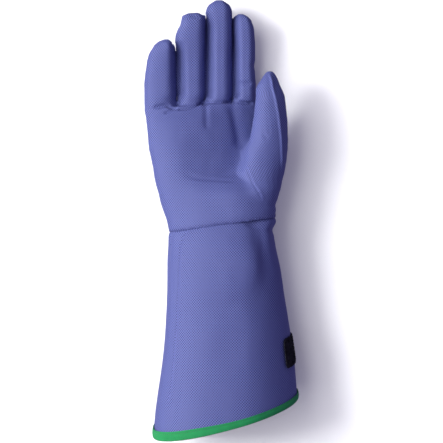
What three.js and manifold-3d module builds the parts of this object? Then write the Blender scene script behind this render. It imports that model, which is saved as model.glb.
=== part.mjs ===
// A padded right-hand glove with a long flared cuff, lying on its back with the palm up.
// Millimetres. +X is the thumb side, +Y runs to the fingertips, +Z is up out of the palm.
// Every cloth wall is a loft of rounded sections; the hand is hollow right into the fingertips.
import * as THREE from 'three';
import { mergeVertices } from 'three/addons/utils/BufferGeometryUtils.js';
import Module from 'manifold-3d';

const wasm = await Module();
wasm.setup();

// Walls and clearances
const handWall = 3.2;        // padded cloth of the hand and the fingers
const cuffWall = 2.6;        // padded cloth of the cuff
const seamGap = 0.3;         // clearance where two pieces are sewn edge to edge
const settle = 3.2;          // how far the cloth that lies on the surface is flattened

// Hand
const palmLength = 109.7;    // wrist seam to the finger bases, on the middle line
const palmDepth = 50;        // thickness of the padded hand at the middle of the palm
const palmHollow = 6;        // depth of the dish in the palm
const fingerSlant = 0.06;    // the line of finger bases rises towards the thumb side
const baseRise = 0.6;        // how far that line bows up at the middle finger
const fingerGap = 0.5;       // clearance between neighbouring fingers
const webLean = 4.0;         // the little finger's web leans away from the ring finger
const webRise = 13;          // height over which it leans

// Fingers, from the base line to the tip
const littleLength = 61.5;
const ringLength = 84;
const middleLength = 94.2;
const indexLength = 79.7;
const littleWidth = 31.7;
const ringWidth = 22.8;
const middleWidth = 25.6;
const indexWidth = 22.4;
const fingerDepth = 26.4;
const fingerCurl = 13;       // rise of a fingertip over the finger's base
const fingerLift = 2.1;      // the back of the finger base over the surface

// Thumb, from its root at the wrist to the tip
const thumbLength = 122;
const thumbWidth = 34.5;
const thumbDepth = 34;
const thumbRise = 49.5;      // height of the thumb's middle line over the surface
const thumbReach = 45.9;     // the thumb's tip beyond the middle of the wrist
const thumbRoot = 15.5;      // the thumb's root above the wrist seam
const webHeight = 75;        // the thumb's web above the wrist seam
const webTurn = 51;          // degrees that the thumb's seam plane falls away from the web
const webInset = 1.5;        // the web's corner inside the thumb's outline
const weltHeight = 1.3;      // raised seam along the thumb
const weltReach = 5;         // degrees round the thumb that it takes
const weltTurn = [12, 82];   // degrees round the thumb where it lies, at the root and the tip
const weltStart = 0.25;      // it rises out of the pad at this share of the thumb's length

// Cuff
const cuffLength = 176.5;    // hem to wrist seam, on the middle line
const cuffEase = 1.2;        // the cuff stands this much wider than the hand at the wrist
const hemWidth = 133;
const hemDepth = 90;
const hemShift = 4.6;        // the hem's middle beyond the wrist's, towards the thumb side
const wristSlant = 0.148;    // the wrist seam rises towards the thumb side
const hemSlant = 0.29;       // and the hem rises more
const hemTilt = 0.2;         // the hem reaches lower at the palm side than at the back

// Hem binding and hook-and-loop tab
const bindingWidth = 7;
const bindingThick = 1.1;
const tabLength = 33;
const tabThick = 1.2;
const tabPlace = 44;         // the tab's middle above the hem, on the middle line
const tabTurn = [-38, 32];   // degrees round the thumb-side edge, back to front

// Number of sides and rows
const handSides = 40;
const fingerSides = 20;
const thumbSides = 22;
const cuffSides = 44;
const cuffRows = 15;

// Exponents of the rounded sections: 2 is an ellipse, more is fuller
const palmRound = 2.45;
const fingerRound = 2.3;
const thumbRound = 2.1;
const cuffRound = 2.2;

const degree = Math.PI / 180;

// Reads a column of a table of rows at a place between them, along a smooth curve
function sample(table, along, column) {
  let i = 0;
  while (i < table.length - 2 && along > table[i + 1].along) i++;
  const slope = (k) => {
    const a = table[Math.max(k - 1, 0)];
    const b = table[Math.min(k + 1, table.length - 1)];
    return (b[column] - a[column]) / (b.along - a.along);
  };
  const a = table[i];
  const b = table[i + 1];
  const span = b.along - a.along;
  const t = (along - a.along) / span;
  if (t < 0) return a[column] + slope(i) * (along - a.along);
  if (t > 1) return b[column] + slope(i + 1) * (along - b.along);
  const t2 = t * t;
  const t3 = t2 * t;
  return (2 * t3 - 3 * t2 + 1) * a[column] + (t3 - 2 * t2 + t) * span * slope(i)
    + (3 * t2 - 2 * t3) * b[column] + (t3 - t2) * span * slope(i + 1);
}

const bump = (distance, reach) => Math.exp(-((distance / reach) ** 2));
const power = (value, exponent) => Math.sign(value) * Math.abs(value) ** exponent;

// One ring of a cloth wall: a rounded section, flattened where it lies on the surface z = 0,
// or on what is folded under it there, which is section.floor thick
function ring(section, inset, sides) {
  const round = 2 / section.round;
  const points = [];
  for (let i = 0; i < sides; i++) {
    const turn = (section.start ?? 0) + (i / sides) * 2 * Math.PI;
    const across = power(Math.cos(turn), round);
    const up = power(Math.sin(turn), round);
    const depth = up > 0 ? section.front : section.back;
    let x = (section.half - inset) * across;
    let z = (depth - inset) * up;
    const relief = section.relief ? section.relief(turn, x) : 0;
    const length = Math.hypot(x, z);
    x += relief * x / length;
    z += relief * z / length;
    const height = Math.max(section.z + z, inset + (section.floor ?? 0));
    const y = section.y + (section.slant ?? 0) * x - (section.tilt ?? 0) * (height - section.z);
    points.push(new THREE.Vector3(section.x + x, y, height));
  }
  return points;
}

// A geometry from rings of equal length, joined in order; the ends are closed, or the
// last ring is joined to the first
function loft(rings, closed = false) {
  const sides = rings[0].length;
  const points = rings.flat();
  const faces = [];
  const joins = closed ? rings.length : rings.length - 1;
  for (let r = 0; r < joins; r++) {
    const low = r * sides;
    const high = ((r + 1) % rings.length) * sides;
    for (let i = 0; i < sides; i++) {
      const j = (i + 1) % sides;
      faces.push(low + i, low + j, high + j, low + i, high + j, high + i);
    }
  }
  const cap = (start, flip) => {
    const middle = new THREE.Vector3();
    for (let i = 0; i < sides; i++) middle.addScaledVector(points[start + i], 1 / sides);
    const centre = points.push(middle) - 1;
    for (let i = 0; i < sides; i++) {
      const j = (i + 1) % sides;
      faces.push(...(flip ? [centre, start + j, start + i] : [centre, start + i, start + j]));
    }
  };
  if (!closed) {
    cap(0, true);
    cap((rings.length - 1) * sides, false);
  }
  // The sign of the volume tells which way the faces look
  let volume = 0;
  for (let k = 0; k < faces.length; k += 3) {
    const [a, b, c] = [points[faces[k]], points[faces[k + 1]], points[faces[k + 2]]];
    volume += a.dot(b.clone().cross(c));
  }
  if (volume < 0) faces.reverse();
  const geometry = new THREE.BufferGeometry().setFromPoints(points);
  geometry.setIndex(faces);
  return geometry;
}

// A geometry as a solid for joining and cutting
function solid(geometry) {
  const clean = geometry.clone();
  clean.deleteAttribute('normal');
  clean.deleteAttribute('uv');
  const merged = mergeVertices(clean, 1e-5);
  const vertProperties = new Float32Array(merged.attributes.position.array);
  const triVerts = new Uint32Array(merged.index.array);
  return new wasm.Manifold(new wasm.Mesh({ numProp: 3, vertProperties, triVerts }));
}

function geometryOf(manifold) {
  const mesh = manifold.getMesh();
  const geometry = new THREE.BufferGeometry();
  geometry.setAttribute('position', new THREE.BufferAttribute(mesh.vertProperties, 3));
  geometry.setIndex(new THREE.BufferAttribute(mesh.triVerts, 1));
  return geometry;
}

// Palm body. left and right: how far each edge lies inside (positive) or outside the line
// of finger bases, as shares of the palm's width. front: height of the palm over the
// surface, back: height of the back, both as shares of the palm's depth.
const palmWidth = littleWidth + ringWidth + middleWidth + indexWidth + 3 * fingerGap;
const palmRows = [
  { along: 0.00, left: 0.228, right: -0.150, front: 1.22, back: 0.04 },
  { along: 0.11, left: 0.190, right: -0.142, front: 1.17, back: 0.01 },
  { along: 0.24, left: 0.140, right: -0.129, front: 1.12, back: 0.00 },
  { along: 0.36, left: 0.110, right: -0.112, front: 1.08, back: 0.00 },
  { along: 0.49, left: 0.078, right: -0.089, front: 1.04, back: 0.00 },
  { along: 0.62, left: 0.054, right: -0.067, front: 0.98, back: 0.00 },
  { along: 0.75, left: 0.024, right: -0.045, front: 0.90, back: 0.00 },
  { along: 0.87, left: 0.008, right: -0.022, front: 0.80, back: 0.00 },
  { along: 0.95, left: 0.003, right: -0.006, front: 0.70, back: 0.01 },
  { along: 1.00, left: 0.002, right: 0.000, front: 0.63, back: 0.03 },
];
const palmLeft = -palmWidth / 2;
const pressed = (back) => 1 - THREE.MathUtils.smoothstep(back, 0, 0.03 * palmDepth);
const palmMiddle = (sample(palmRows, 0, 'left') - sample(palmRows, 0, 'right')) * palmWidth / 2;

// The dish of the palm, and the furrow between the thumb's pad and the palm. Places are
// shares of the palm's width from its middle and of its length; reach, too.
const palmDents = [
  { across: 0.06, along: 0.70, depth: 0.70, wide: 0.22, long: 0.26 },
  { across: 0.16, along: 0.55, depth: 0.55, wide: 0.11, long: 0.24 },
  { across: 0.00, along: 0.46, depth: 0.30, wide: 0.26, long: 0.10 },
];
function palmSection(along) {
  const left = palmLeft + sample(palmRows, along, 'left') * palmWidth;
  const right = -palmLeft - sample(palmRows, along, 'right') * palmWidth;
  const top = sample(palmRows, along, 'front') * palmDepth;
  const back = sample(palmRows, along, 'back') * palmDepth;
  const middle = (left + right) / 2;
  const flat = settle * pressed(back);
  const dish = (turn, x) => {
    if (Math.sin(turn) <= 0) return 0;
    return -palmDents.reduce((sum, dent) => sum + palmHollow * dent.depth
      * bump((middle + x) / palmWidth - dent.across, dent.wide)
      * bump(along - dent.along, dent.long), 0) * Math.sin(turn) ** 2;
  };
  return {
    x: middle,
    y: along * palmLength,
    z: (top + back) / 2,
    half: (right - left) / 2,
    front: (top - back) / 2,
    back: (top - back) / 2 + flat,
    round: palmRound,
    slant: THREE.MathUtils.lerp(wristSlant, fingerSlant, along),
    relief: dish,
  };
}

// Cuff. side: the middle of the ring, as a share of the hem's shift; flare and deep: its
// width and depth from the wrist's (0) to the hem's (1); back: its height over the surface,
// as a share of the palm's depth.
const cuffTable = [
  { along: 0.00, side: 1.00, flare: 1.000, deep: 1.00, back: 0.00 },
  { along: 0.10, side: 0.93, flare: 0.925, deep: 0.91, back: 0.00 },
  { along: 0.25, side: 1.10, flare: 0.730, deep: 0.76, back: 0.00 },
  { along: 0.40, side: 1.12, flare: 0.530, deep: 0.61, back: 0.00 },
  { along: 0.55, side: 0.87, flare: 0.340, deep: 0.45, back: 0.00 },
  { along: 0.70, side: 0.62, flare: 0.205, deep: 0.30, back: 0.00 },
  { along: 0.85, side: 0.10, flare: 0.040, deep: 0.14, back: 0.01 },
  { along: 0.94, side: 0.00, flare: -0.020, deep: 0.05, back: 0.03 },
  { along: 1.00, side: 0.10, flare: 0.040, deep: 0.00, back: 0.04 },
];
// Folds of the cuff. along: share of its length from the hem; turn: degrees round it from
// the thumb side; depth in shares of the wall, negative for a ridge; long: share of the
// length; wide: degrees.
const cuffFolds = [
  { along: 0.93, turn: 55, depth: 1.5, long: 0.10, wide: 9 },
  { along: 0.82, turn: 47, depth: 1.0, long: 0.12, wide: 10 },
  { along: 0.90, turn: 33, depth: -0.9, long: 0.08, wide: 8 },
  { along: 0.98, turn: 8, depth: -0.8, long: 0.025, wide: 26 },
  { along: 0.945, turn: 5, depth: 0.8, long: 0.016, wide: 24 },
  { along: 0.60, turn: 120, depth: 0.45, long: 0.03, wide: 50 },
  { along: 0.93, turn: 165, depth: 0.6, long: 0.06, wide: 7 },
  { along: 0.97, turn: 90, depth: 0.35, long: 0.02, wide: 40 },
];
const wrist = palmSection(0);
function cuffSection(along) {
  const top = THREE.MathUtils.lerp(wrist.z + wrist.front, hemDepth,
    sample(cuffTable, along, 'deep'));
  const back = sample(cuffTable, along, 'back') * palmDepth;
  const flare = sample(cuffTable, along, 'flare');
  const half = THREE.MathUtils.lerp(wrist.half + cuffEase, hemWidth / 2, flare);
  const flat = settle * pressed(back);
  const folds = (turn) => {
    const degrees = ((turn / degree) % 360 + 540) % 360 - 180;
    return -cuffFolds.reduce((sum, fold) => sum + cuffWall * fold.depth
      * bump(degrees - fold.turn, fold.wide) * bump(along - fold.along, fold.long), 0);
  };
  return {
    x: palmMiddle + hemShift * sample(cuffTable, along, 'side'),
    y: -seamGap - (1 - along) * cuffLength,
    z: (top + back) / 2,
    half,
    front: (top - back) / 2,
    back: (top - back) / 2 + flat,
    round: cuffRound,
    slant: THREE.MathUtils.lerp(hemSlant, wristSlant, along),
    tilt: hemTilt * (1 - along),
    floor: (seamGap + bindingThick) * (1 - THREE.MathUtils.smoothstep(along * cuffLength,
      3 * bindingWidth, 6 * bindingWidth)),
    relief: folds,
  };
}

// Fingers. left and right: how far the outline stands in from the finger's strip, as shares
// of its width; deep: its thickness as a share of the fingers' depth.
const littleRows = [
  { along: 0.00, left: 0.012, right: 0.000, deep: 1.00 },
  { along: 0.10, left: 0.005, right: 0.000, deep: 1.00 },
  { along: 0.25, left: 0.000, right: 0.000, deep: 1.00 },
  { along: 0.40, left: 0.006, right: 0.000, deep: 0.98 },
  { along: 0.55, left: 0.035, right: 0.000, deep: 0.96 },
  { along: 0.70, left: 0.080, right: 0.020, deep: 0.92 },
  { along: 0.82, left: 0.165, right: 0.025, deep: 0.84 },
  { along: 0.90, left: 0.270, right: 0.035, deep: 0.74 },
  { along: 0.96, left: 0.400, right: 0.080, deep: 0.56 },
  { along: 0.99, left: 0.500, right: 0.150, deep: 0.34 },
];
const ringRows = [
  { along: 0.00, left: 0.000, right: 0.000, deep: 1.00 },
  { along: 0.20, left: 0.000, right: 0.000, deep: 1.00 },
  { along: 0.45, left: 0.000, right: 0.000, deep: 1.00 },
  { along: 0.65, left: 0.006, right: 0.000, deep: 0.98 },
  { along: 0.77, left: 0.070, right: 0.010, deep: 0.95 },
  { along: 0.85, left: 0.180, right: 0.010, deep: 0.92 },
  { along: 0.91, left: 0.270, right: 0.010, deep: 0.86 },
  { along: 0.96, left: 0.305, right: 0.010, deep: 0.76 },
  { along: 0.985, left: 0.360, right: 0.050, deep: 0.56 },
  { along: 0.995, left: 0.430, right: 0.130, deep: 0.36 },
];
const middleRows = [
  { along: 0.00, left: 0.000, right: 0.000, deep: 1.00 },
  { along: 0.25, left: 0.000, right: 0.000, deep: 1.00 },
  { along: 0.50, left: 0.000, right: 0.000, deep: 0.99 },
  { along: 0.75, left: 0.000, right: 0.000, deep: 0.97 },
  { along: 0.84, left: 0.040, right: 0.000, deep: 0.93 },
  { along: 0.89, left: 0.080, right: 0.012, deep: 0.87 },
  { along: 0.93, left: 0.130, right: 0.060, deep: 0.77 },
  { along: 0.962, left: 0.215, right: 0.130, deep: 0.62 },
  { along: 0.985, left: 0.330, right: 0.240, deep: 0.42 },
  { along: 0.996, left: 0.430, right: 0.345, deep: 0.22 },
];
const indexRows = [
  { along: 0.00, left: 0.000, right: 0.000, deep: 1.00 },
  { along: 0.20, left: 0.000, right: 0.010, deep: 1.00 },
  { along: 0.41, left: 0.000, right: 0.090, deep: 0.98 },
  { along: 0.51, left: 0.000, right: 0.062, deep: 0.98 },
  { along: 0.71, left: 0.000, right: 0.083, deep: 0.96 },
  { along: 0.85, left: 0.000, right: 0.104, deep: 0.90 },
  { along: 0.92, left: 0.012, right: 0.210, deep: 0.80 },
  { along: 0.965, left: 0.045, right: 0.310, deep: 0.60 },
  { along: 0.985, left: 0.110, right: 0.400, deep: 0.42 },
  { along: 0.996, left: 0.200, right: 0.490, deep: 0.22 },
];
const ringLeft = palmLeft + littleWidth + fingerGap;
const middleLeft = ringLeft + ringWidth + fingerGap;
const indexLeft = middleLeft + middleWidth + fingerGap;
const lean = (rise) => webLean * (1 - Math.exp(-Math.max(rise, 0) / webRise));
const fingers = [
  { name: 'little_finger', rows: littleRows, left: palmLeft, width: littleWidth,
    length: littleLength, base: 0, leanLeft: 0, leanRight: 1 },
  { name: 'ring_finger', rows: ringRows, left: ringLeft, width: ringWidth,
    length: ringLength, base: baseRise / 2, leanLeft: 1, leanRight: 0 },
  { name: 'middle_finger', rows: middleRows, left: middleLeft, width: middleWidth,
    length: middleLength, base: baseRise, leanLeft: 0, leanRight: 0 },
  { name: 'index_finger', rows: indexRows, left: indexLeft, width: indexWidth,
    length: indexLength, base: baseRise, leanLeft: 0, leanRight: 0 },
];
const palmEnd = palmSection(1);
const seamAt = (x) => palmEnd.y + fingerSlant * (x - palmEnd.x);

// The section of a finger at a share of its length; below 0 it runs down into the palm
function fingerSection(finger, along) {
  const rise = along * finger.length;
  const row = Math.max(along, 0);
  const left = finger.left - finger.leanLeft * lean(rise)
    + sample(finger.rows, row, 'left') * finger.width;
  const right = finger.left + finger.width - finger.leanRight * lean(rise)
    - sample(finger.rows, row, 'right') * finger.width;
  const half = (right - left) / 2;
  const deep = sample(finger.rows, row, 'deep') * fingerDepth / 2;
  const middle = (left + right) / 2;
  return {
    x: middle,
    y: seamAt(finger.left + finger.width / 2) + seamGap + finger.base + rise
      + fingerSlant * (middle - finger.left - finger.width / 2) * (1 - row),
    z: fingerLift + fingerDepth / 2 + fingerCurl * row ** 2,
    half,
    front: deep,
    back: deep,
    round: fingerRound,
    slant: fingerSlant * (1 - row),
  };
}

// Thumb. side: its middle line beyond the tip's, and half, as shares of the thumb's width;
// deep: half its thickness as a share of the depth; high: its height as a share of the rise.
const thumbRows = [
  { along: 0.000, side: -0.400, half: 0.430, deep: 0.56, high: 0.610 },
  { along: 0.060, side: -0.350, half: 0.515, deep: 0.62, high: 0.635 },
  { along: 0.130, side: -0.305, half: 0.590, deep: 0.65, high: 0.680 },
  { along: 0.248, side: -0.265, half: 0.652, deep: 0.65, high: 0.750 },
  { along: 0.353, side: -0.187, half: 0.627, deep: 0.60, high: 0.830 },
  { along: 0.436, side: -0.120, half: 0.590, deep: 0.545, high: 0.905 },
  { along: 0.511, side: -0.040, half: 0.512, deep: 0.50, high: 0.960 },
  { along: 0.639, side: -0.030, half: 0.473, deep: 0.47, high: 0.990 },
  { along: 0.759, side: -0.010, half: 0.416, deep: 0.44, high: 1.000 },
  { along: 0.850, side: -0.005, half: 0.380, deep: 0.41, high: 1.000 },
  { along: 0.910, side: 0.005, half: 0.320, deep: 0.36, high: 0.996 },
  { along: 0.947, side: 0.013, half: 0.253, deep: 0.30, high: 0.990 },
  { along: 0.974, side: 0.005, half: 0.170, deep: 0.22, high: 0.980 },
  { along: 0.992, side: 0.000, half: 0.080, deep: 0.11, high: 0.970 },
];
const thumbX = palmMiddle + thumbReach;
function thumbSection(along) {
  const seam = THREE.MathUtils.lerp(...weltTurn, along) * degree;
  const height = weltHeight * THREE.MathUtils.smoothstep(along, weltStart, weltStart + 0.1);
  return {
    x: thumbX + sample(thumbRows, along, 'side') * thumbWidth,
    y: thumbRoot + along * thumbLength,
    z: sample(thumbRows, along, 'high') * thumbRise,
    half: sample(thumbRows, along, 'half') * thumbWidth,
    front: sample(thumbRows, along, 'deep') * thumbDepth,
    back: sample(thumbRows, along, 'deep') * thumbDepth,
    round: thumbRound,
    start: seam,
    relief: (turn) => height * bump(turn - seam, weltReach * degree),
  };
}

// Solids of the outside and of the hollow of each piece of the hand
const palmSteps = [0, 0.04, 0.11, 0.18, 0.25, 0.33, 0.41, 0.49, 0.57, 0.65, 0.73, 0.81, 0.89,
  0.95, 1];
const endWall = handWall / palmLength;
const mouthReach = 0.05;     // the hollows are cut this share of a length past their mouths
const stubReach = 0.12;
const palmOuter = solid(loft(palmSteps.map((along) => ring(palmSection(along), 0, handSides))));
const palmClear = solid(loft(palmSteps.map((along) => ring(palmSection(along), -seamGap,
  handSides))));
const hollowSteps = [-mouthReach, ...palmSteps.slice(1, -2), 1 - endWall];
const palmInner = solid(loft(hollowSteps.map((along) => ring(palmSection(along), handWall,
  handSides))));
const fingerInner = (finger, from) => solid(loft([from, ...finger.rows.map((row) => row.along)]
  .map((along) => ring(fingerSection(finger, along * (1 - handWall / finger.length)), handWall,
    fingerSides))));
const fingerOuter = (finger) => solid(loft(finger.rows.map((row) => ring(
  fingerSection(finger, row.along), 0, fingerSides))));
const thumbWhole = solid(loft(thumbRows.map((row) => ring(thumbSection(row.along), 0,
  thumbSides))));
const thumbInside = (along) => (handWall + along * (thumbLength - 2 * handWall)) / thumbLength;
const thumbHollow = solid(loft(thumbRows.map((row) => ring(thumbSection(thumbInside(row.along)),
  handWall, thumbSides))));

// The plane of the thumb's seam, as a large block whose lower face it is
function seamBlock(clearance) {
  const size = 3 * palmLength;
  const block = new THREE.BoxGeometry(size, size, size);
  block.translate(0, size / 2 + clearance, 0);
  block.rotateZ(-webTurn * degree);
  block.translate(thumbX - thumbWidth / 2 - webInset, webHeight, 0);
  return solid(block);
}
const thumbBase = thumbWhole.subtract(seamBlock(-seamGap / 2));
const thumbFree = thumbWhole.intersect(seamBlock(seamGap / 2));

const shapes = {};
shapes.palm = geometryOf(fingers.reduce(
  (shell, finger) => shell.subtract(fingerInner(finger, -stubReach)),
  palmOuter.add(thumbBase).subtract(palmInner).subtract(thumbHollow),
));
shapes.thumb = geometryOf(thumbFree.subtract(palmClear).subtract(thumbHollow));
for (const finger of fingers) {
  shapes[finger.name] = geometryOf(fingerOuter(finger).subtract(
    fingerInner(finger, -mouthReach),
  ));
}

// The cuff's wall, from the hem to the wrist seam outside and back inside
const cuffSteps = Array.from({ length: cuffRows }, (_, i) => 1 - (1 - i / (cuffRows - 1)) ** 1.25);
const cuffRing = (along, inset) => ring(cuffSection(along), inset, cuffSides);
shapes.cuff = loft([
  ...cuffSteps.map((along) => cuffRing(along, 0)),
  ...cuffSteps.toReversed().map((along) => cuffRing(along, cuffWall)),
], true);

// The binding is folded round the hem: up the outside, under the edge and up the inside
const hemStep = 1 / cuffLength;
const bindingEdge = bindingWidth - bindingThick - seamGap;
const bindingLow = -(seamGap + bindingThick) * hemStep;
const tape = [
  { along: bindingEdge * hemStep, inset: -seamGap - bindingThick },
  { along: 0, inset: -seamGap - bindingThick },
  { along: bindingLow, inset: -seamGap },
  { along: bindingLow, inset: cuffWall + seamGap },
  { along: 0, inset: cuffWall + seamGap + bindingThick },
  { along: bindingEdge * hemStep, inset: cuffWall + seamGap + bindingThick },
  { along: bindingEdge * hemStep, inset: cuffWall + seamGap },
  { along: -seamGap * hemStep, inset: cuffWall + seamGap },
  { along: -seamGap * hemStep, inset: -seamGap },
  { along: bindingEdge * hemStep, inset: -seamGap },
];
shapes.hem_binding = loft(tape.map((row) => cuffRing(row.along, row.inset)), true);

// The tab is a curved patch on the cuff, laid round the thumb-side edge: from the back to the
// front it is lofted through strips that run along the cuff on its face and back under it
const tabRows = 6;
const tabColumns = 12;
const tabLines = (inset) => Array.from({ length: tabRows + 1 }, (_, row) => {
  const along = (tabPlace + (row / tabRows - 0.5) * tabLength) / cuffLength;
  const section = { ...cuffSection(along), start: tabTurn[0] * degree };
  return ring(section, inset, 360);
});
const tabUnder = tabLines(-seamGap);
const tabFace = tabLines(-seamGap - tabThick);
shapes.hook_loop_tab = loft(Array.from({ length: tabColumns + 1 }, (_, column) => {
  const turn = Math.round(column * (tabTurn[1] - tabTurn[0]) / tabColumns);
  return [...tabUnder.map((line) => line[turn]), ...tabFace.toReversed().map((line) => line[turn])];
}));

// Finishes, from the coated cloth, the tape and the hook-and-loop patch
const cloth = { color: 0x6068b4, roughness: 0.72, metalness: 0 };
const green = { color: 0x2c9a5c, roughness: 0.8, metalness: 0 };
const black = { color: 0x131518, roughness: 0.95, metalness: 0 };
const finishes = { hem_binding: green, hook_loop_tab: black };

const glove = new THREE.Group();
const box = new THREE.Box3();
for (const [name, geometry] of Object.entries(shapes)) {
  geometry.computeVertexNormals();
  const mesh = new THREE.Mesh(geometry, new THREE.MeshStandardMaterial(finishes[name] ?? cloth));
  mesh.name = name;
  glove.add(mesh);
  box.expandByObject(mesh);
}

// The origin is under the middle of the glove, on the surface that it lies on
const middle = box.getCenter(new THREE.Vector3());
glove.position.set(-middle.x, -middle.y, -box.min.z);

export default glove;
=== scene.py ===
# A padded right-hand glove for very cold work, lying on its back with the palm up.
# Metres, +X the thumb side, +Y the fingertips, +Z up out of the palm.
from math import atan, cos, pi, radians, sin

import bmesh
import bpy
import numpy as np
from mathutils import Matrix, Vector, noise
from mathutils.bvhtree import BVHTree


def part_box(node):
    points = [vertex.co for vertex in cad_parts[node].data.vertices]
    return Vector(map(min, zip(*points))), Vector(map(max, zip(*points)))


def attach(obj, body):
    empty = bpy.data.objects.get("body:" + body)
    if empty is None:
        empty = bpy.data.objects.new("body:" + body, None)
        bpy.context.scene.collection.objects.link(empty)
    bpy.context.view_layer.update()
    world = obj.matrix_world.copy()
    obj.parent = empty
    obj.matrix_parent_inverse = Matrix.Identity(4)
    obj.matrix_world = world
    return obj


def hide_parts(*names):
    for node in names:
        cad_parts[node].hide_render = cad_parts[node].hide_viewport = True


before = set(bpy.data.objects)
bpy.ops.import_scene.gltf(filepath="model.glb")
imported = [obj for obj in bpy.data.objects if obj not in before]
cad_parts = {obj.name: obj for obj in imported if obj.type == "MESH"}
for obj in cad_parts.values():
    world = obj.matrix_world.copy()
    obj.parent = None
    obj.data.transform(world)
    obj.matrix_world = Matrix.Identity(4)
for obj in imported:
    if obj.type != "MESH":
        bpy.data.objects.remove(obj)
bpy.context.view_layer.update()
mm = 0.001

# The hand: one padded skin of coated blue cloth, palm, back, four finger stalls and a wing
# thumb, sewn from flat panels. The cut pieces are copied and drawn together into one skin that
# is fine enough for its folds; the fingers are held apart meanwhile so that they stay free.
finger_nodes = ("little_finger", "ring_finger", "middle_finger", "index_finger")
hand_nodes = ("palm", "thumb") + finger_nodes
hand_mesh_size = 1.15 * mm
finger_spread = np.array((-4.8, -1.6, 1.6, 4.8)) * mm
spread_height = 11 * mm
base_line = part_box("palm")[1].y - 2 * mm
index_edge = 32.4 * mm


def smooth_step(value, low, high):
    t = np.clip((value - low) / (high - low), 0, 1)
    return t * t * (3 - 2 * t)


def merged_copy(nodes, shifts=None):
    cloth = bmesh.new()
    for number, node in enumerate(nodes):
        piece = bmesh.new()
        piece.from_mesh(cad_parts[node].data)
        bmesh.ops.remove_doubles(piece, verts=piece.verts, dist=0.01 * mm)
        if shifts is not None:
            for height in np.arange(0, spread_height + 1 * mm, 1 * mm):
                bmesh.ops.bisect_plane(piece, plane_co=(0, base_line + height, 0),
                                       plane_no=(0, 1, 0),
                                       geom=piece.verts[:] + piece.edges[:] + piece.faces[:])
            for vert in piece.verts:
                rise = smooth_step(vert.co.y, base_line, base_line + spread_height)
                vert.co.x += shifts[number] * rise
        held = bpy.data.meshes.new(node)
        piece.to_mesh(held)
        cloth.from_mesh(held)
        bpy.data.meshes.remove(held)
        piece.free()
    return cloth


def finished(name, cloth, modifiers=()):
    mesh = bpy.data.meshes.new(name)
    cloth.to_mesh(mesh)
    cloth.free()
    piece = bpy.data.objects.new(name, mesh)
    bpy.context.scene.collection.objects.link(piece)
    for kind, settings in modifiers:
        modifier = piece.modifiers.new(kind.lower(), kind)
        for key, value in settings.items():
            setattr(modifier, key, value)
    if modifiers:
        graph = bpy.context.evaluated_depsgraph_get()
        piece.data = bpy.data.meshes.new_from_object(piece.evaluated_get(graph))
        piece.modifiers.clear()
    piece.data.shade_smooth()
    return piece


def read_all(items, name, width=3):
    """One property of all vertices or faces, as rows."""
    values = np.empty(len(items) * width)
    items.foreach_get(name, values)
    return values.reshape(-1, width)


def points_of(piece):
    return read_all(piece.data.vertices, "co")


def normals_of(piece):
    piece.data.update()
    return read_all(piece.data.vertices, "normal")


def place(piece, points):
    piece.data.vertices.foreach_set("co", points.ravel())
    piece.data.update()


def neighbours_of(piece):
    edges = np.empty(len(piece.data.edges) * 2, dtype=int)
    piece.data.edges.foreach_get("vertices", edges)
    ends = np.concatenate([edges.reshape(-1, 2), edges.reshape(-1, 2)[:, ::-1]])
    return ends, np.maximum(np.bincount(ends[:, 0], minlength=len(piece.data.vertices)), 1)


def relaxed(piece, rounds):
    """Smooths a skin by turns towards and away from its neighbours' middle: it doesn't shrink."""
    points = points_of(piece)
    ends, count = neighbours_of(piece)
    for turn in range(2 * rounds):
        sums = np.stack([np.bincount(ends[:, 0], points[ends[:, 1], axis], len(points))
                         for axis in range(3)], axis=1)
        points += (0.5 if turn % 2 == 0 else -0.52) * (sums / count[:, None] - points)
    place(piece, points)


def evened(piece, share, rounds):
    """Smooths only the heights of a skin, by each point's share."""
    points = points_of(piece)
    ends, count = neighbours_of(piece)
    for _ in range(rounds):
        sums = np.bincount(ends[:, 0], points[ends[:, 1], 2], len(points))
        points[:, 2] += 0.5 * share * (sums / count - points[:, 2])
    place(piece, points)


# Where the fingers part from each other: (height y, place x) in mm
finger_fences = [
    [(104.0, -40.2), (109.0, -40.7), (119.0, -42.4), (129.0, -43.4), (149.0, -44.3),
     (164.0, -45.0), (170.0, -44.5)],
    [(180.0, -16.85), (190.0, -16.6), (196.0, -18.0)],
    [(180.0, 9.25), (190.0, 10.5), (196.0, 12.0)]]


def fences(y):
    """The lines between the fingers at the heights y."""
    return [np.interp(y, *(np.array(line).T * mm)) for line in finger_fences]


hand_relaxing = 14
hand = finished("hand_cloth", merged_copy(hand_nodes, [0, finger_spread[-1], *finger_spread]),
                [("REMESH", {"mode": "VOXEL", "voxel_size": hand_mesh_size})])
relaxed(hand, hand_relaxing)
points = points_of(hand)
rise = smooth_step(points[:, 1], base_line, base_line + spread_height)
webs = fences(points[:, 1])
back = np.full(len(points), finger_spread[0])
for web, low, high in zip(webs, finger_spread, finger_spread[1:]):
    middle = web + (low + high) / 2 * rise
    back += (high - low) * smooth_step(points[:, 0], middle - 1 * mm, middle + 1 * mm)
points[:, 0] -= rise * back

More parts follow.
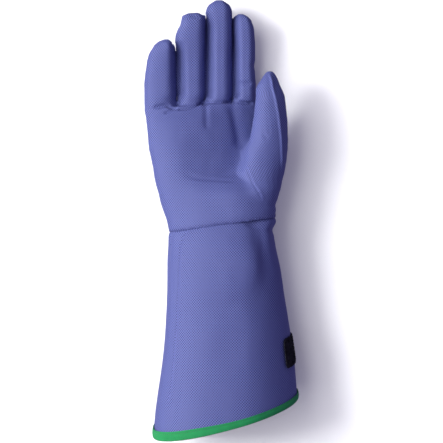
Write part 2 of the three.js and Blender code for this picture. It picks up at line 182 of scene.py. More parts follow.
# The outlines that the filled cloth takes, in mm. Each finger has its tip's height, its fuller
# part (height, place across and width as shares of its half width) and rows of (height y, left
# edge, right edge); the palm with the thumb's pad has such rows too.
finger_outlines = (
    (168.0, (3.4, 0.75, 0.6), [
        (110.0, -71.7, -41.2), (126.7, -71.8, -42.3), (137.9, -70.9, -42.6),
        (149.0, -69.1, -43.1), (153.7, -67.8, -43.5), (158.3, -65.3, -43.9),
        (163.0, -62.5, -44.7), (166.2, -58.8, -45.8), (167.6, -55.1, -47.7)]),
    (192.2, (2.5, 0.85, 0.5), [
        (110.4, -41.2, -15.3), (127.2, -42.3, -15.4), (149.5, -43.0, -15.4),
        (158.8, -43.5, -15.5), (167.6, -43.2, -15.5), (172.3, -42.6, -15.5),
        (176.9, -41.2, -15.5), (181.6, -38.4, -15.6), (186.2, -37.2, -15.8),
        (189.0, -36.5, -16.4), (190.4, -35.6, -17.4), (191.8, -30.9, -20.7)]),
    (204.3, (1.4, 0.6, 0.4), [
        (110.4, -15.2, 10.4), (149.5, -15.3, 10.4), (182.0, -15.3, 10.3),
        (189.0, -15.3, 10.0), (191.8, -15.1, 10.0), (194.6, -14.2, 9.9),
        (197.4, -13.3, 9.1), (200.2, -11.4, 7.2), (203.0, -7.7, 3.5)]),
    (191.3, (1.8, 0.7, 0.4), [
        (110.4, 10.3, 32.3), (127.2, 10.3, 32.3), (138.3, 10.3, 31.4), (143.9, 10.3, 30.5),
        (149.5, 10.3, 31.4), (163.4, 10.3, 31.4), (176.9, 10.3, 30.5), (181.6, 10.3, 29.5),
        (186.2, 10.4, 27.7), (189.0, 11.0, 24.9), (190.9, 13.7, 21.2)]))
palm_outline = [
    (-9.8, -49.4, 51.3), (-3.5, -49.9, 51.6), (2.1, -51.3, 51.6), (7.7, -53.2, 50.6),
    (16.0, -55.9, 51.3), (24.4, -57.8, 54.0), (32.7, -60.6, 55.9), (41.1, -62.4, 57.7),
    (49.4, -63.4, 59.6), (57.8, -65.2, 60.5), (66.2, -67.1, 61.4), (74.5, -68.0, 61.4),
    (92.2, -69.8, 60.5), (104.2, -70.8, 59.6)]
wrist_middle = np.array((-0.42, -2.75, 31.5)) * mm
wrist_slope = 0.148


def above_wrist(points):
    return points[:, 1] - wrist_middle[1] - wrist_slope * (points[:, 0] - wrist_middle[0])


def edges_of(heights, across, slab):
    """The heights, middles and half widths of a piece's slices."""
    low = heights.min()
    row = ((heights - low) / slab).astype(int)
    least, most = np.full(row.max() + 1, np.inf), np.full(row.max() + 1, -np.inf)
    np.minimum.at(least, row, across)
    np.maximum.at(most, row, across)
    level = low + (np.arange(len(least)) + 0.5) * slab
    middles, halves = (np.convolve(np.pad(line, 1, mode="edge"), (0.25, 0.5, 0.25), "valid")
                       for line in ((least + most) / 2, (most - least) / 2))
    return level, middles, halves


def fitted(points, chosen, rows, share, slab=1.5 * mm, slope=0.0):
    """Draws the chosen points across until the piece's edges pass through the rows. Its slices
    run along Y, or slanting as the wrist seam does. Gives each point's place across, -1 to 1."""
    rows = np.array(rows) * mm
    heights = points[:, 1] - slope * points[:, 0]
    level, middles, halves = edges_of(heights[chosen], points[chosen, 0], slab)
    middle, half = np.interp(heights, level, middles), np.interp(heights, level, halves)
    left, right = (np.interp(heights, rows[:, 0] - slope * rows[:, side], rows[:, side])
                   for side in (1, 2))
    wider = np.clip((right - left) / 2 / half, 0.8, 1.25)
    moved = (left + right) / 2 + (points[:, 0] - middle) * wider
    points[chosen, 0] += (share * (moved - points[:, 0]))[chosen]
    return np.clip((points[:, 0] - (left + right) / 2) / ((right - left) / 2), -1, 1)


# Each finger lies a little over the next one: the next one's near shoulder is lower
shoulder_drop, shoulder_end = 8.0 * mm, 14 * mm
thumb_floor = 42 * mm
share = smooth_step(points[:, 1], base_line, base_line + spread_height)
start = base_line + spread_height
sides = [np.full(len(points), -1.0), *fences(points[:, 1]), np.full(len(points), index_edge)]
beside_tip = 0
for (tip, fuller, rows), left, right in zip(finger_outlines, sides, sides[1:]):
    finger = ((points[:, 1] > base_line - 4 * mm) & (points[:, 0] > left)
              & (points[:, 0] < right) & (points[:, 2] < thumb_floor))
    reach = points[finger, 1].max() - start
    climb = np.maximum(points[:, 1] - start, 0)
    points[finger, 1] += (climb * ((tip * mm - start) / reach - 1))[finger]
    place_across = fitted(points, finger, rows, share)
    added, middle_across, width_across = fuller
    full = added * mm * np.exp(-((place_across - middle_across) / width_across) ** 2) * share
    points[finger, 2] += (full * smooth_step(points[:, 2], 14 * mm, 30 * mm))[finger]
    if beside_tip:
        lower = 1 - smooth_step(points[:, 1], beside_tip - shoulder_end, beside_tip)
        lower *= share * (1 - smooth_step(place_across, -1.0, -0.1))
        lower *= smooth_step(points[:, 2], 14 * mm, 30 * mm)
        points[finger, 2] -= (shoulder_drop * lower)[finger]
    beside_tip = tip * mm
lower = (points[:, 1] < base_line) | (points[:, 0] > index_edge)
fitted(points, lower, palm_outline, 1 - smooth_step(points[:, 1], 96 * mm, 105 * mm), 3 * mm,
       wrist_slope)
# The thumb's end, which narrows to a point
thumb_end_start, thumb_end_length = 112 * mm, 25.2 * mm
thumb_tip = [(119.6, 31.5, 56.5), (125.1, 33.6, 53.8), (130.6, 37.3, 51.9), (133.4, 39.6, 49.8),
             (136.1, 41.9, 47.4), (137.2, 43.5, 46.0)]
thumb = ((points[:, 1] > 108 * mm)
         & ((points[:, 0] > index_edge) | (points[:, 2] > thumb_floor)))
climb = np.maximum(points[:, 1] - thumb_end_start, 0)
points[thumb, 1] += (climb * (thumb_end_length / climb[thumb].max() - 1))[thumb]
fitted(points, thumb, thumb_tip, smooth_step(points[:, 1], 113 * mm, 122 * mm))
place(hand, points)
relaxed(hand, 5)

# The palm's front is one soft surface: the cut piece's edges melt into it. The little finger
# is rounder than the others.
front_evening, finger_evening = 90, 30
points, normals = points_of(hand), normals_of(hand)
x, y = points[:, 0] / mm, points[:, 1] / mm
melt = smooth_step(y, 6, 16) * (1 - smooth_step(y, 100, 112)) * smooth_step(x, -66, -52)
melt *= (1 - smooth_step(y, 66, 80) * smooth_step(x, 18, 27)) * (1 - smooth_step(x, 48, 56))
melt *= smooth_step(np.abs(normals[:, 2]), 0.3, 0.6) * smooth_step(points[:, 2] / mm, 16, 24)
evened(hand, melt, front_evening)
little_finger = smooth_step(y, 107, 114) * (points[:, 0] < fences(points[:, 1])[0])
evened(hand, little_finger, finger_evening)

# The form of the palm, as millimetres above or below the cut piece: a hollow that falls away
# towards the thumb, deepest beside the thumb's pad, which stands up over it, and ends below at a
# soft shelf where the heel's padding begins. The heel rises towards the thumb. The pad has its
# own table, its edge as (height y, x), and the place and width of the ramp up to it by height.
hollow_columns = (-38, -30, -22, -14, -7, 0, 7, 14, 20, 26)
hollow_rows = [
    (112, (0, 0, 0, 0, 0, 0, 0, 0, 0, 0)),
    (105, (0, 0, 0, 0, -1, -2, -3, -4, -4, -4)),
    (100, (0, 0, 0, -0.5, -2.5, -4, -6, -8, -9, -9)),
    (92, (0, 0, 0.5, 0, -2.5, -5, -7, -10, -11.5, -12)),
    (84, (0, 0.5, 1, 1, -1, -3, -6, -9.5, -11.5, -12)),
    (76, (0, 0, 0, 0.5, -1, -4, -7, -10.5, -12.5, -13)),
    (68, (0, -0.5, -0.5, -0.5, -1.5, -4.5, -8, -11.5, -13, -13)),
    (60, (0, 0, 0, 0.5, -0.5, -2.5, -6.5, -9.5, -11, -11)),
    (52, (0, -1, -1, -0.5, -1, -3, -6.5, -9, -9, -9)),
    (45, (0, -0.5, -0.5, -0.5, -1, -3.5, -6, -6.5, -6, -5)),
    (40, (0, -0.5, -0.5, -0.5, -1, -2.5, -3.5, -3, -1, 0)),
    (35, (0, 0.3, 0.8, 1.3, 2, 2.6, 3, 3.5, 4, 4.5)),
    (26, (0, 1, 2.2, 3.5, 5, 6.3, 7.6, 9, 9.6, 10)),
    (12, (0, 1, 2.4, 3.5, 4.8, 6.2, 7.5, 8.6, 9.2, 9.6)),
    (-6, (0, 0.7, 1.5, 2.2, 3, 3.8, 4.4, 5, 5.2, 5.4))]
pad_columns = (14, 26, 38, 52)
pad_rows = [(60, (0, 0, 0, 0)), (45, (0.5, 1, 1, 1)), (35, (2.5, 3.5, 4, 4)),
            (26, (9, 10, 9.5, 9)), (12, (8.6, 9.6, 9.2, 8.6)), (-6, (5, 5.4, 5.5, 5.5))]
pad_edge = [(107, 40.0), (92.7, 40.0), (82.6, 36.0), (78, 31.0), (71.5, 25.4), (67.9, 21.2),
            (64.2, 17.3), (56.9, 16.9), (44.9, 12.2), (41, 14.0), (35.7, 19.1)]
pad_ramp = ((62, 72), (0.5, -3.5), (9.0, 5.0))
form_softness = 2.5
front_height, front_blend = 30 * mm, 14 * mm


def between_cells(table, row, column):
    """The table's value between its cells; beyond its edges it stays the same."""
    row = np.clip(row, 0, table.shape[0] - 1.001)
    column = np.clip(column, 0, table.shape[1] - 1.001)
    j, k = row.astype(int), column.astype(int)
    t, s = row - j, column - k
    return ((1 - t) * ((1 - s) * table[j, k] + s * table[j, k + 1])
            + t * ((1 - s) * table[j + 1, k] + s * table[j + 1, k + 1]))


def read_form(x, y, columns, rows):
    """The table's value at each place, softened between its rows and columns, in mm."""
    rows = sorted(rows)
    fine_x, fine_y = np.arange(-60, 75, 1.0), np.arange(-195, 130, 1.0)
    across = np.array([np.interp(fine_x, columns, values) for _, values in rows])
    table = np.array([np.interp(fine_y, [row[0] for row in rows], line) for line in across.T]).T
    bell = np.exp(-0.5 * (np.arange(-8, 9) / form_softness) ** 2)
    bell /= bell.sum()
    for axis in (0, 1):
        table = np.apply_along_axis(
            lambda line: np.convolve(np.pad(line, 8, mode="edge"), bell, "valid"), axis, table)
    return between_cells(table, y - fine_y[0], x - fine_x[0])


def front_share(points):
    return smooth_step(points[:, 2], front_height - front_blend, front_height)


def formed(points):
    x, y = points[:, 0] / mm, points[:, 1] / mm
    edge = np.interp(y, *np.array(sorted(pad_edge)).T)
    start, width = (np.interp(y, pad_ramp[0], row) for row in pad_ramp[1:])
    pad = smooth_step((x - edge - start) / width, 0, 1)
    rise = (1 - pad) * read_form(x, y, hollow_columns, hollow_rows)
    rise += pad * read_form(x, y, pad_columns, pad_rows)
    thumb = smooth_step(y, 70, 76) * smooth_step(points[:, 2] / mm, 43, 48) * smooth_step(x, 20, 25)
    points[:, 2] += rise * mm * front_share(points) * (1 - thumb)


# Where the hand is sewn to the cuff, the seam draws both in to a shallow groove all round
wrist_pinch, wrist_reach, cuff_ease = 0.8 * mm, 3.0 * mm, 0.3 * mm
hand_overlap, cuff_overlap, overlap_reach = 1.3 * mm, 0.2 * mm, 2 * mm


def drawn_in(points, amount, reach):
    away = points - wrist_middle
    away[:, 1] = 0
    away /= np.linalg.norm(away, axis=1)[:, None]
    close = np.exp(-(above_wrist(points) / reach) ** 2)
    points -= away * (amount * close)[:, None]


def overlapping(points, amount):
    points[:, 1] += amount * np.exp(-(above_wrist(points) / overlap_reach) ** 2)


def bunched(points):
    """At the seam's thumb end the cloth stands out in a small fold, with a nick under it."""
    side = smooth_step(points[:, 0], 30 * mm, 47 * mm)
    points[:, 0] += side * 1.5 * mm * np.exp(-((points[:, 1] + 1.0 * mm) / (3.5 * mm)) ** 2)
    points[:, 0] -= side * 1.3 * mm * np.exp(-((points[:, 1] + 9.0 * mm) / (3.2 * mm)) ** 2)


points = points_of(hand)
formed(points)
drawn_in(points, wrist_pinch, wrist_reach)
bunched(points)
overlapping(points, -hand_overlap)
place(hand, points)

# Seams and creases of the hand. A sewn seam pulls the padding down in a groove and puckers it
# a little at each stitch; a crease is wider and has no stitches. Each is drawn as seen from
# above, in millimetres, and laid on the cloth. A welt stands up along the thumb's outer seam.
palm_seams = {
    "ring_base": [(-40.5, 102.6), (-38.4, 103.0), (-33.7, 103.5), (-29.1, 104.4), (-24.4, 105.8),
                  (-19.8, 108.1), (-17.0, 110.0)],
    "middle_base": [(-15.5, 110.8), (-12.3, 110.0), (-6.7, 109.7), (-1.2, 109.5), (4.4, 110.0),
                    (9.1, 110.4)],
}
thumb_pad_seam = [(21.8, 53.0), (24.6, 47.5), (26.8, 42.0), (30.1, 34.0), (33.7, 28.2),
                  (36.5, 22.7), (38.3, 17.2)]
thumb_welt = [(44.6, 134.0), (46.4, 129.7), (48.3, 119.6), (50.6, 110.5), (52.4, 101.3),
              (53.8, 92.2), (54.7, 83.0), (55.6, 73.9), (56.0, 64.7), (56.3, 54.0),
              (55.8, 46.0)]
palm_creases = [
    ([(-64.5, 104.2), (-62.5, 104.8), (-57.0, 105.8), (-51.4, 106.7), (-45.8, 104.8),
      (-41.0, 105.6)], 1.9, 1.5, 0.35),
    ([(-54.0, 99.4), (-51.4, 100.2), (-45.8, 102.5), (-40.2, 104.8)], 1.6, 1.3, 0.35),
    ([(-15.6, 111.5), (-14.4, 106.6), (-13.8, 99.3), (-13.6, 90.0), (-13.0, 82.0)], 1.2, 2.8, 0.0),
    ([(9.0, 109.0), (11.5, 100.0), (14.0, 88.0), (16.0, 76.0), (16.5, 64.0)], 1.9, 4.6, 0.0),
    ([(10.5, 113.0), (13.6, 116.5), (17.4, 116.0)], 1.6, 1.6, 0.3),
    ([(13.6, 110.2), (15.6, 110.4), (23.0, 109.0), (30.5, 109.5)], 2.2, 1.5, 0.35),
    ([(16.0, 126.4), (17.4, 127.0), (26.7, 127.0), (29.0, 126.4)], 1.1, 1.9, 0.35),
    ([(36.6, 80.0), (39.5, 77.6), (42.6, 74.6)], 0.5, 1.5, 0.1),
    ([(-36.0, 44.0), (-24.0, 39.5), (-10.0, 37.8), (4.0, 36.8), (17.0, 36.0)], 0.6, 1.8, 0.2),
    ([(-37.4, 186.6), (-34.0, 187.6), (-30.0, 187.2), (-26.0, 188.2), (-22.0, 187.4),
      (-18.0, 187.8)], 2.2, 0.9, 0.7),
]


def smooth_line(corners, step):
    corners = np.array(corners, dtype=float)
    padded = np.vstack([2 * corners[0] - corners[1], corners, 2 * corners[-1] - corners[-2]])
    line = []
    for a, b, c, d in zip(padded, padded[1:], padded[2:], padded[3:]):
        count = max(2, int(np.linalg.norm(c - b) / step))
        for t in np.arange(count) / count:
            line.append(0.5 * (2 * b + (c - a) * t + (2 * a - 5 * b + 4 * c - d) * t * t
                               + (3 * b - a - 3 * c + d) * t ** 3))
    line.append(corners[-1])
    return np.array(line)


def tree_of(piece):
    return BVHTree.FromPolygons([v.co for v in piece.data.vertices],
                                [p.vertices[:] for p in piece.data.polygons])


def struck(tree, start, direction, from_inside):
    """The spot and normal where a ray meets the outer skin."""
    start, direction = Vector(start), Vector(direction).normalized()
    for _ in range(8):
        spot, normal, _, _ = tree.ray_cast(start, direction)
        if spot is None or (normal.dot(direction) > 0) == from_inside:
            return spot, normal
        start = spot + direction * 0.05 * mm
    return None, None


def laid(tree, rays, from_inside):
    hits = [struck(tree, start, direction, from_inside) for start, direction in rays]
    hits = [hit for hit in hits if hit[0] is not None]
    return np.array([spot for spot, _ in hits]), np.array([normal for _, normal in hits])


def from_above(corners, step=0.5):
    return [(Vector((x, y, 300)) * mm, (0, 0, -1)) for x, y in smooth_line(corners, step)]


def lengths_along(path):
    return np.concatenate([[0], np.cumsum(np.linalg.norm(np.diff(path, axis=0), axis=1))])


def pressed_in(points, normals, path, facing, profile, reach, same_side=0.25):
    """Moves the cloth near a path along its normals by profile(aside, along, length): aside is
    the distance in mm, positive to the right of the path as seen from outside."""
    along = lengths_along(path)
    tangent = np.gradient(path, axis=0)
    right = np.cross(tangent, facing)
    low, high = path.min(axis=0) - reach, path.max(axis=0) + reach
    near = np.where(((points > low) & (points < high)).all(axis=1))[0]
    closest = np.concatenate([
        np.linalg.norm(part[:, None, :] - path[None, :, :], axis=2).argmin(axis=1)
        for part in np.array_split(points[near], max(1, len(near) // 4000))])
    offset = points[near] - path[closest]
    distance = np.linalg.norm(offset, axis=1)
    side = np.where((offset * right[closest]).sum(axis=1) < 0, -1.0, 1.0)
    alike = (normals[near] * facing[closest]).sum(axis=1)
    kept = (distance < reach) & (alike > same_side)
    near, closest, aside = near[kept], closest[kept], (distance * side)[kept]
    move = profile(aside / mm, along[closest] / mm, along[-1] / mm) * mm
    points[near] += normals[near] * move[:, None]


def sewn(depth, stitch=2.8, width=0.95, lift=0.3, closed=False):
    puckered, shoulder, shoulder_width = 0.35, 2.7, 1.3

    def profile(aside, along, length):
        pucker = 1 + puckered * np.cos(2 * pi * along / stitch)
        ends = 1 if closed else smooth_step(along, 0, 2) * smooth_step(length - along, 0, 2)
        return ends * (-depth * pucker * np.exp(-(aside / width) ** 2)
                       + lift * np.exp(-((np.abs(aside) - shoulder) / shoulder_width) ** 2))
    return profile


def creased(depth, width, lift):
    def profile(aside, along, length):
        ends = smooth_step(along, 0, 0.25 * length) * smooth_step(length - along, 0, 0.2 * length)
        return ends * (-depth * np.exp(-(aside / width) ** 2)
                       + lift * np.exp(-((np.abs(aside) - 2.2 * width) / width) ** 2))
    return profile


def welted(height, width, valley):
    def profile(aside, along, length):
        ends = smooth_step(length - along, 0, 12)
        return ends * (height * np.exp(-((aside - 0.6) / width) ** 2)
                       - valley * np.exp(-((aside + 1.3) / 1.1) ** 2)
                       - 0.6 * valley * np.exp(-((aside - 2.6) / 1.2) ** 2))
    return profile


def overlapped(step, width=0.8):
    """One panel's edge lies over the next: the left side stands over the right."""
    def profile(aside, along, length):
        ends = smooth_step(along, 0, 6) * smooth_step(length - along, 0, 6)
        left = np.exp(-((aside + 1.2) / 1.3) ** 2)
        right = np.exp(-((aside - 1.0) / width) ** 2)
        return ends * step * (0.6 * left - right)
    return profile


# Padding is never quite even: broad soft waves, and a finer crumple of the coated cloth
wave_height, wave_length = 0.5 * mm, 26 * mm
crumple_height, crumple_length = 0.14 * mm, 8.5 * mm


def uneven(points, normals):
    for number, point in enumerate(points):
        spot = Vector(point)
        wave = noise.noise(spot / wave_length) * wave_height
        wave += noise.noise(spot / crumple_length) * crumple_height
        points[number] += normals[number] * wave


def spine(points, slab=2.5 * mm):
    """The heights and middles (x, z) of a tube's slices along Y."""
    low = points[:, 1].min()
    count = int((points[:, 1].max() - low) / slab) + 1
    row = np.minimum(((points[:, 1] - low) / slab).astype(int), count - 1)
    heights = low + (np.arange(count) + 0.5) * slab
    middles = []
    for axis in (0, 2):
        least, most = np.full(count, np.inf), np.full(count, -np.inf)
        np.minimum.at(least, row, points[:, axis])
        np.maximum.at(most, row, points[:, axis])
        known = np.isfinite(least)
        middle = np.interp(heights, heights[known], (least[known] + most[known]) / 2)
        middles.append(np.convolve(np.pad(middle, 4, mode="edge"), np.ones(9) / 9, "valid"))
    return low, count, row, heights, middles


# The panels' side seams run up each side of a finger and round its tip, a little to the front
side_turn = radians(64)
hidden_turn = radians(100)
finger_seam_start, tip_round = 14 * mm, 0.42
seam_step = 0.7 * mm


def finger_rays(node):
    low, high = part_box(node)
    cut = read_all(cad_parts[node].data.vertices, "co")
    _, _, _, heights, (middle_x, middle_z) = spine(cut, 4 * mm)
    top = high.y - tip_round * (high.x - low.x)

    def middle(y):
        return np.array((np.interp(y, heights, middle_x), y, np.interp(y, heights, middle_z)))

    climb = np.arange(low.y + finger_seam_start, top, seam_step)
    rays = [(middle(y), (-sin(side_turn), 0, cos(side_turn))) for y in climb]
    for turn in np.linspace(pi, 0, 44):
        rays.append((middle(top), (cos(turn) * sin(side_turn), sin(turn) * sin(side_turn),
                                   cos(side_turn))))
    down = np.arange(top, low.y + finger_seam_start, -seam_step)
    rays += [(middle(y), (sin(side_turn), 0, cos(side_turn))) for y in down]
    return rays


points, normals = points_of(hand), normals_of(hand)
uneven(points, normals)
place(hand, points)
tree = tree_of(hand)
palm_edge = [(-48.8, 2.5), (-53.4, 17.3), (-57.9, 32.1), (-60.8, 46.9), (-63.6, 61.7),
             (-66.4, 76.5), (-68.2, 93.2), (-69.3, 108.0), (-69.8, 123.4), (-68.9, 138.3),
             (-66.9, 149.5), (-62.5, 160.7), (-56.0, 166.0), (-51.4, 166.6), (-47.7, 164.6),
             (-45.8, 160.7)]
hand_seams = [laid(tree, from_above(corners), False) for corners in palm_seams.values()]
side_seams = [laid(tree, finger_rays(node), True) for node in finger_nodes[1:]]
side_seams.append(laid(tree, from_above(palm_edge), False))
pad_seam = laid(tree, from_above(thumb_pad_seam), False)
welt = laid(tree, from_above(thumb_welt), False)
points, normals = points_of(hand), normals_of(hand)
for corners, *form in palm_creases:
    pressed_in(points, normals, *laid(tree, from_above(corners), False), creased(*form), 8 * mm)
for seam in hand_seams:
    pressed_in(points, normals, *seam, sewn(1.5), 6 * mm)
side_seam = sewn(0.45, width=0.8, lift=0.15)
for seam in side_seams:
    pressed_in(points, normals, *seam, side_seam, 4 * mm)
pressed_in(points, normals, *pad_seam, overlapped(0.5), 5 * mm)
pressed_in(points, normals, *welt, welted(1.0, 0.9, 0.35), 6 * mm)
points[:, 2] = np.maximum(points[:, 2], 0)
place(hand, points)

# The cuff: a long padded tube that flares to the hem, of the same cloth, with a seam along each
# side. Under the wrist seam its front stands as high as the palm's heel, and a fold runs down
# on the thumb side. The form is millimetres above the cut piece.
cuff_columns = (-38, -22, -7, 7, 20, 26, 34, 42, 52, 58, 66)
cuff_rows = [(8, (0, 1.5, 3, 4.4, 5.2, 5.4, 5.5, 5.5, 5.5, 5.5, 5.5)),
             (-8, (0, 1.5, 3, 4.4, 5.3, 5.4, 5.3, 5.4, 5.2, 5, 5)),
             (-20, (0, 1.8, 4, 6, 7, 6.5, 4, 3.5, 2, 2, 2)),
             (-34, (0, 1.8, 4, 6, 7.5, 7, 4, 2.5, 1, 1, 1)),
             (-52, (0, 1.2, 2.5, 4, 4.6, 4, 2, 0, -2, -3, -3)),
             (-74, (0, 0.5, 1, 1.5, 1.5, 1, -0.5, -2, -4.5, -6, -6)),
             (-100, (0, 0, 0, 0, 0, 0, -1.0, -2.8, -5.6, -7.2, -8)),
             (-190, (0, 0, 0, 0, 0, 0, -1.2, -3.2, -6, -7.6, -8.5))]
fold_shift, fold_place, fold_width = 5.5, 25.0, 12.0
hem_tilt = 0.030


def cuff_formed(points):
    front = front_share(points)
    points[:, 2] += front * mm * read_form(points[:, 0] / mm, points[:, 1] / mm, cuff_columns,
                                           cuff_rows)
    return front


def hem_turned(points):
    """The hem slants a little more than the cut piece's."""
    points[:, 1] -= hem_tilt * points[:, 0] * smooth_step(-points[:, 1], 120 * mm, 170 * mm)


def soft_copy(name, node):
    """A cut piece's copy, its triangles joined to quads and then rounded."""
    cloth = merged_copy((node,))
    bmesh.ops.join_triangles(cloth, faces=cloth.faces, angle_face_threshold=0.8,
                             angle_shape_threshold=0.8)
    return finished(name, cloth, [("SUBSURF", {"levels": 3, "render_levels": 3})])


cuff = soft_copy("cuff_cloth", "cuff")
points, normals = points_of(cuff), normals_of(cuff)
uneven(points, normals)
x, y = points[:, 0] / mm, points[:, 1] / mm
front = cuff_formed(points)
fold = smooth_step(-y, 2, 10) * (1 - smooth_step(-y, 38, 72)) * front
points[:, 0] += fold * fold_shift * mm * np.exp(-((x - fold_place) / fold_width) ** 2)
drawn_in(points, cuff_ease, 9 * mm)
drawn_in(points, wrist_pinch, wrist_reach)
bunched(points)
overlapping(points, cuff_overlap)
hem_turned(points)
place(cuff, points)
cuff_creases = [
    ([(-46.2, -9.5), (-46.6, -15.0), (-46.2, -24.0)], 1.0, 1.2, 0.3),
    ([(-44.0, -70.0), (-20.0, -77.0), (4.0, -80.0), (20.0, -79.0)], 0.5, 5.0, 0.3),
]
tree = tree_of(cuff)
_, _, _, cuff_heights, (cuff_x, cuff_z) = spine(points, 4 * mm)
cuff_side_seams = []
for turn in (-side_turn, hidden_turn):
    rays = [((np.interp(y, cuff_heights, cuff_x), y, np.interp(y, cuff_heights, cuff_z)),
             (sin(turn), 0, cos(turn))) for y in np.arange(-165 * mm, -6 * mm, seam_step)]
    cuff_side_seams.append(laid(tree, rays, True))
points, normals = points_of(cuff), normals_of(cuff)
for corners, *form in cuff_creases:
    pressed_in(points, normals, *laid(tree, from_above(corners), False), creased(*form), 14 * mm)
for seam in cuff_side_seams:
    pressed_in(points, normals, *seam, side_seam, 4 * mm)
points[:, 2] = np.maximum(points[:, 2], 0)
place(cuff, points)

# The blue cloth: a plain weave of thick yarns that shows as fine bright dots in slanting rows.
# Its pattern lies on each panel by arc length, round the piece (u) and along it (v), in mm.
weave_smoothing, steepest_climb, steepest_slope, panel_shift = 40, 0.4, 1.2, 3.7


def spread_to_neighbours(table):
    """The sum of a table's neighbours round the piece and along it."""
    around = np.roll(table, 1, 1) + np.roll(table, -1, 1)
    around[1:] += table[:-1]
    around[:-1] += table[1:]
    return around


def wrapped(points, slab=2.5 * mm, sectors=96):
    """Gives the turn and radius of a place round the tube's middle, and its arc lengths."""
    low, count, row, heights, middles = spine(points, slab)
    filled = np.bincount(row, minlength=count)
    whole = filled > 0.6 * np.median(filled)
    middles = [np.polyval(np.polyfit(heights[whole], middle[whole], 2), heights)
               for middle in middles]

    def turn_and_radius(spots):
        x = spots[..., 0] - np.interp(spots[..., 1], heights, middles[0])
        z = spots[..., 2] - np.interp(spots[..., 1], heights, middles[1])
        return np.arctan2(x, z), np.hypot(x, z)

    turn, radius = turn_and_radius(points)
    step = 2 * pi / sectors
    sector = ((turn + pi) / step).astype(int) % sectors
    far = np.zeros((count, sectors))
    np.maximum.at(far, (row, sector), radius)
    for _ in range(weave_smoothing):
        if (far > 0).all():
            break
        known = spread_to_neighbours((far > 0).astype(float))
        far = np.where(far > 0, far, spread_to_neighbours(far) / np.maximum(known, 1))
    tall = np.pad(far, ((1, 1), (0, 0)), mode="edge")
    far = np.maximum(np.maximum(tall[:-2], tall[2:]), far)
    for _ in range(weave_smoothing):
        far = (2 * far + np.roll(far, 1, 1) + np.roll(far, -1, 1)) / 4
        tall = np.pad(far, ((1, 1), (0, 0)), mode="edge")
        far = (2 * tall[1:-1] + tall[:-2] + tall[2:]) / 4
    wide = np.concatenate([far, far, far], axis=1)
    hops = np.hypot(np.diff(wide, axis=1), (wide[:, 1:] + wide[:, :-1]) / 2 * step)
    round_it = np.concatenate([np.zeros((count, 1)), np.cumsum(hops, axis=1)], axis=1)
    front = sectors + sectors // 2
    round_it -= round_it[:, front - 1:front + 1].mean(axis=1)[:, None]
    most = steepest_climb * slab
    climbs = np.hypot(np.clip(np.diff(wide, axis=0), -most, most), slab)
    up_it = np.concatenate([np.zeros((1, wide.shape[1])), np.cumsum(climbs, axis=0)], axis=0)

    def arcs(height, turn):
        row, column = (height - low) / slab - 0.5, (turn + 3 * pi) / step - 0.5
        return between_cells(round_it, row, column), between_cells(up_it, row, column)

    return turn_and_radius, arcs


def flat_rows(points, step=1.5 * mm, rounds=14):
    """The palm's front and the thumb's are one panel: its places across, by arc length."""
    x, y = np.arange(-80 * mm, 80 * mm, step), np.arange(-24 * mm, 144 * mm, step)
    height = np.full((len(y), len(x)), -1.0)
    row = np.clip(np.round((points[:, 1] - y[0]) / step).astype(int), 0, len(y) - 1)
    column = np.clip(np.round((points[:, 0] - x[0]) / step).astype(int), 0, len(x) - 1)
    np.maximum.at(height, (row, column), points[:, 2])
    for line in height:
        known = line >= 0
        line[:] = np.interp(x, x[known], line[known]) if known.any() else 0
    for _ in range(rounds):
        wide = np.pad(height, 1, mode="edge")
        wide = (2 * wide[1:-1] + wide[:-2] + wide[2:]) / 4
        height = (2 * wide[:, 1:-1] + wide[:, :-2] + wide[:, 2:]) / 4
    slope = np.clip(np.diff(height, axis=1) / step, -steepest_slope, steepest_slope)
    hops = np.cumsum(np.hypot(step, slope * step), axis=1)
    across = np.concatenate([np.zeros((len(y), 1)), hops], axis=1)
    across -= across[:, [len(x) // 2]]
    return between_cells(across, (points[:, 1] - y[0]) / step, (points[:, 0] - x[0]) / step)


def lay_weave(piece, nodes):
    """Lays the weave's UV map, each face by the cut piece that it lies nearest."""
    mesh = piece.data
    points = points_of(piece)
    corners = read_all(mesh.loops, "vertex_index", 1)[:, 0].astype(int)
    sizes = read_all(mesh.polygons, "loop_total", 1)[:, 0].astype(int)
    face_of = np.repeat(np.arange(len(sizes)), sizes)
    centres = read_all(mesh.polygons, "center")
    owner = np.zeros(len(points), dtype=int)
    if len(nodes) > 1:
        trees = [tree_of(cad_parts[node]) for node in nodes]
        for number, point in enumerate(points):
            reach = [tree.find_nearest(point)[3] for tree in trees]
            owner[number] = reach.index(min(reach))
    firsts = np.concatenate([[0], np.cumsum(sizes)[:-1]])
    face_owner = owner[corners[firsts]]
    weave = np.zeros((len(corners), 2))
    for number in range(len(nodes)):
        turn_and_radius, arcs = wrapped(points[owner == number])
        mine = np.where(face_owner[face_of] == number)[0]
        spots = points[corners[mine]]
        turn, _ = turn_and_radius(spots)
        face_turn, _ = turn_and_radius(centres[face_of[mine]])
        turn += 2 * pi * np.round((face_turn - turn) / (2 * pi))
        u, v = arcs(spots[:, 1], turn)
        weave[mine, 0], weave[mine, 1] = u / mm, v / mm + number * panel_shift
    if "palm" in nodes:
        panel = np.isin(face_owner, [nodes.index("palm"), nodes.index("thumb")])
        panel &= read_all(mesh.polygons, "normal")[:, 2] > 0
        mine = np.where(panel[face_of])[0]
        spots = points[corners[mine]]
        weave[mine, 0], weave[mine, 1] = flat_rows(spots) / mm, spots[:, 1] / mm
    layer = mesh.uv_layers.new(name="weave")
    layer.data.foreach_set("uv", weave.ravel())


lay_weave(hand, hand_nodes)
lay_weave(cuff, ("cuff",))


